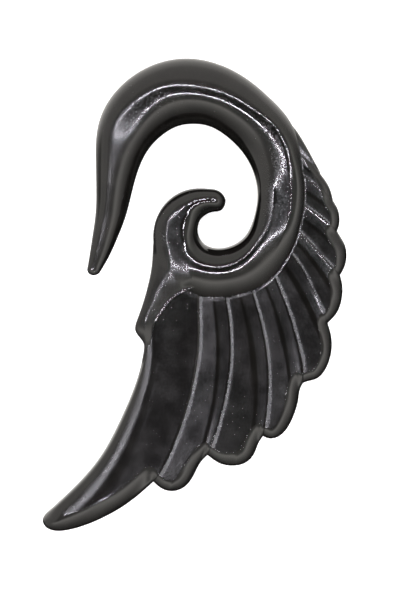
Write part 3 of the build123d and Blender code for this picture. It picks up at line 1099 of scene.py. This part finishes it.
# %% The roughness
SPECK_SIZE, SPECK_DETAIL = 0.22 * MM, 3
MOTTLE = (0.35, 0.65, 0.8, 1.25)  # from these values of the noise to these factors of the sanding
SPECK_STRENGTH = (0.42, 0.72, 0.15, 3.2)
ROUGHNESS = (0, 1, 0.045, 0.45)  # from these shares of sanding to these roughnesses


def map_range(tree, value, low, high, to_low, to_high):
    """A value taken evenly from low to high over to to_low to to_high, and kept between them."""
    inputs = {"Value": value, "From Min": low, "From Max": high}
    inputs |= {"To Min": to_low, "To Max": to_high}
    return add_node(tree, "ShaderNodeMapRange", inputs).outputs["Result"]


def math_node(tree, operation, *values):
    """A sum, product or other step on numbers or on other nodes' outputs."""
    inputs = dict(enumerate(values))
    return add_node(tree, "ShaderNodeMath", inputs, operation=operation).outputs["Value"]


sanding_share, speck_share = (
    add_node(horn_tree, "ShaderNodeAttribute", attribute_name=share_name).outputs["Fac"]
    for share_name in ("sanding", "specks")
)
speck_noise = noise(horn_tree, horn_place, SPECK_SIZE, SPECK_DETAIL)
speck_strength = map_range(horn_tree, speck_noise, *SPECK_STRENGTH)
evened = add_node(
    horn_tree, "ShaderNodeMix", {"Factor": speck_share, "A": 1.0, "B": speck_strength},
    data_type="FLOAT",
).outputs["Result"]
mottled = math_node(horn_tree, "MULTIPLY", sanding_share, map_range(horn_tree, grain, *MOTTLE))
uneven = math_node(horn_tree, "MULTIPLY", mottled, evened)
roughness = map_range(horn_tree, uneven, *ROUGHNESS)
horn_tree.links.new(roughness, horn_shader.inputs["Roughness"])
print("the horn's roughness runs from", ROUGHNESS[2], "to", ROUGHNESS[3])

# %% [markdown]
# The roughest strips have scratches deep enough to catch the light one by one. They are a bump,
# which only turns the shading, since real ones would need many more faces. It sets in with the
# sanding and the specks, so polished horn stays level.

# %% The scratches
SCRATCH_DEPTH = 0.008 * MM
SCRATCH_START = (0.3, 0.75, 0.02, 1)  # from these shares of sanding to these shares of the depth

scratched = map_range(horn_tree, sanding_share, *SCRATCH_START)
scratched = math_node(horn_tree, "MULTIPLY", scratched, speck_share)
bump_height = math_node(horn_tree, "MULTIPLY", speck_noise, scratched)
bump = add_node(horn_tree, "ShaderNodeBump", {"Distance": SCRATCH_DEPTH, "Height": bump_height})
horn_tree.links.new(bump.outputs["Normal"], horn_shader.inputs["Normal"])
print("the horn's material has", len(horn_tree.nodes), "nodes")

# %% [markdown]
# ## The light
#
# The highlights say that the photograph was taken from straight above through a ring of small
# lamps: polished horn mirrors them as two rows of dots along every rounded crest. Lamps could be
# set up one by one, but all of it is far away against the size of the carving, so it is painted on
# the world's sky, by direction. First, each direction's angle from straight up and its east and
# north on the floor plan are worked out.

# %% The directions of the sky
LEAST_LENGTH = 0.001  # what a direction's length on the floor plan is never less than

world = bpy.data.worlds.new("studio")
bpy.context.scene.world = world
world.use_nodes = True
sky = world.node_tree
sky.nodes.clear()

direction = add_node(sky, "ShaderNodeTexCoord").outputs["Generated"]
parts = add_node(sky, "ShaderNodeSeparateXYZ", {"Vector": direction}).outputs
angle_from_above = math_node(sky, "ARCCOSINE", parts["Z"])
from_above = math_node(sky, "MULTIPLY", angle_from_above, 180 / np.pi)  # in degrees
plan_length = math_node(sky, "MAXIMUM", math_node(sky, "SINE", angle_from_above), LEAST_LENGTH)
east, north = (math_node(sky, "DIVIDE", parts[axis], plan_length) for axis in ("X", "Y"))
print("the sky's directions take", len(sky.nodes), "nodes")

# %% [markdown]
# A lamp is a small disc of light. Round the ring the angle is cut into as many even pieces as
# there are lamps, and a place is lit where it is near enough to the middle of its piece and to the
# ring.

# %% The ring of lamps
RING_TILT, LAMP_SIZE, LAMPS = 14.0, 0.29, 76  # degrees from straight up, radius in degrees, count
LAMP_LIGHT = 420.0  # times as strong as the plain studio

round_ring = math_node(sky, "MULTIPLY", math_node(sky, "ARCTAN2", north, east), LAMPS / (2 * np.pi))
off_lamp = math_node(sky, "SUBTRACT", math_node(sky, "FRACT", round_ring), 0.5)
lamp_spacing = float(360 / LAMPS * np.sin(np.radians(RING_TILT)))  # in degrees of the sky
off_lamp = math_node(sky, "MULTIPLY", off_lamp, lamp_spacing)
off_ring = math_node(sky, "SUBTRACT", from_above, RING_TILT)
squares = (math_node(sky, "MULTIPLY", off, off) for off in (off_lamp, off_ring))
from_lamp = math_node(sky, "SQRT", math_node(sky, "ADD", *squares))
lit = math_node(sky, "LESS_THAN", from_lamp, LAMP_SIZE)
lamp = math_node(sky, "MULTIPLY", lit, LAMP_LIGHT)
print("the lamps stand", round(lamp_spacing, 2), "degrees apart")

# %% [markdown]
# Outside the ring the horn mirrors the pale studio. Its front right is brighter near the ring and
# falls off away from it. Its back is even down to the table's height, and below it the light comes
# almost only from the back. One even grey would light all sides of the carving alike, and in the
# photo they differ.

# %% The studio
STUDIO_START = 42  # degrees from straight up
FRONT_LIGHT, FRONT_FALL = 2.1, 20  # at the start, and in how many degrees it falls to about a third
BACK_LIGHT, UNDER_LIGHT = 1.0, 1.3
UNDER_START = (88, 104)  # where the light from below sets in, in degrees from straight up
FRONT_WAY, BACK_WAY = (0.5, -0.87), (-0.1, 0.99)  # (east, north)
FRONT_SPREAD, BACK_SPREAD = (-0.35, 0.6), (-0.1, 0.5)  # how far a direction has to point their way


def step_node(value, low, high):
    """0 below low, 1 above high, and a smooth step between."""
    inputs = {"Value": value, "From Min": low, "From Max": high}
    node = add_node(sky, "ShaderNodeMapRange", inputs, interpolation_type="SMOOTHSTEP")
    return node.outputs["Result"]


def mix_node(first, second, share):
    """The first where the share is 0, the second where it is 1, and a blend between."""
    rest = math_node(sky, "SUBTRACT", 1, share)
    first, second = (math_node(sky, "MULTIPLY", *pair) for pair in ((first, rest), (second, share)))
    return math_node(sky, "ADD", first, second)


def towards(way):
    """How far a direction, seen on the floor plan, points the way given: from -1 to 1."""
    eastwards = math_node(sky, "MULTIPLY", east, way[0])
    return math_node(sky, "ADD", eastwards, math_node(sky, "MULTIPLY", north, way[1]))


past_start = math_node(sky, "SUBTRACT", STUDIO_START, from_above)
fading = math_node(sky, "EXPONENT", math_node(sky, "DIVIDE", past_start, FRONT_FALL))
front = math_node(sky, "MULTIPLY", fading, FRONT_LIGHT)
under = math_node(sky, "MULTIPLY", step_node(towards(BACK_WAY), *BACK_SPREAD), UNDER_LIGHT)
back = mix_node(BACK_LIGHT, under, step_node(from_above, *UNDER_START))
studio = mix_node(back, front, step_node(towards(FRONT_WAY), *FRONT_SPREAD))
print("the studio's light is", FRONT_LIGHT, "at the front and", BACK_LIGHT, "at the back")

# %% [markdown]
# Inside the ring the horn mirrors the dark lens, and between the ring and the studio the ring's
# grey housing. These dark parts are what makes level horn look black.

# %% The lens and the housing
LENS_LIGHT, HOUSING_LIGHT = 0.03, 0.5
HOUSING_START = (RING_TILT + 0.5, RING_TILT + 2)  # degrees from straight up
HOUSING_END = 30
STUDIO_COLOUR, LAMP_COLOUR = (1.0, 0.975, 0.93, 1), (0.93, 0.91, 1.0, 1)

housing = mix_node(LENS_LIGHT, HOUSING_LIGHT, step_node(from_above, *HOUSING_START))
studio = mix_node(housing, studio, step_node(from_above, HOUSING_END, STUDIO_START))
glows = []
for colour, strength in ((STUDIO_COLOUR, studio), (LAMP_COLOUR, lamp)):
    glow = add_node(sky, "ShaderNodeBackground", {"Color": colour, "Strength": strength})
    glows.append(glow.outputs["Background"])
both_glows = add_node(sky, "ShaderNodeAddShader", dict(enumerate(glows))).outputs["Shader"]
add_node(sky, "ShaderNodeOutputWorld", {"Surface": both_glows})
print("the sky has", len(sky.nodes), "nodes")

# %% [markdown]
# ## The floor and the camera
#
# The carving lies on a plain pale table. The photograph shows almost no shadow on it, so the table
# gives a little light of its own. It is hidden from reflections, so that the carving's sides stay
# as dark as in the photo.

# %% The floor
FLOOR_HALF = 300 * MM  # half the side of the square table top
FLOOR_CORNERS = [(-1, -1), (1, -1), (1, 1), (-1, 1)]
PAPER_SETTINGS = {
    "Base Color": (0.93, 0.93, 0.93, 1),
    "Roughness": 0.9,
    "Specular IOR Level": 0.0,
    "Emission Color": (1, 1, 1, 1),
    "Emission Strength": 0.65,
}

floor_mesh = bpy.data.meshes.new("table_top")
corners = [(right * FLOOR_HALF, up * FLOOR_HALF, 0) for right, up in FLOOR_CORNERS]
floor_mesh.from_pydata(corners, [], [(0, 1, 2, 3)])
floor = bpy.data.objects.new("table_top", floor_mesh)
bpy.context.scene.collection.objects.link(floor)
paper = bpy.data.materials.new("white_paper")
paper.use_nodes = True
paper_shader = paper.node_tree.nodes["Principled BSDF"]
for name, value in PAPER_SETTINGS.items():
    paper_shader.inputs[name].default_value = value
floor_mesh.materials.append(paper)
floor.visible_glossy = False
print("the table top is", round(2 * FLOOR_HALF / MM), "mm wide")

# %% [markdown]
# The camera looks straight down through a long lens, so that the carving shows at its true
# proportions. An orthographic camera would do that too, but its rays are parallel, so all level
# places would mirror the very same spot of the sky, and behind a real lens they don't.

# %% The camera
LENS, SENSOR = 150.0, 36.0  # in mm
CLIP_START, CLIP_END = 0.01, 10  # in metres
PICTURE_HEIGHT = 601 / DRAWING_SCALE * MM  # the picture's long side, at the carving's middle plane
PICTURE_MIDDLE = from_drawing((200.5, 300.5)) * MM

camera_data = bpy.data.cameras.new("camera")
camera_data.lens, camera_data.sensor_width = LENS, SENSOR
camera_data.clip_start, camera_data.clip_end = CLIP_START, CLIP_END
camera = bpy.data.objects.new("camera", camera_data)
bpy.context.scene.collection.objects.link(camera)
camera_height = mid_height * MM + PICTURE_HEIGHT * LENS / SENSOR
camera.location = (*PICTURE_MIDDLE, camera_height)
bpy.context.scene.camera = camera
bpy.context.scene.view_settings.view_transform = "Standard"
print("the camera hangs", round(camera_height / MM), "mm over the table")
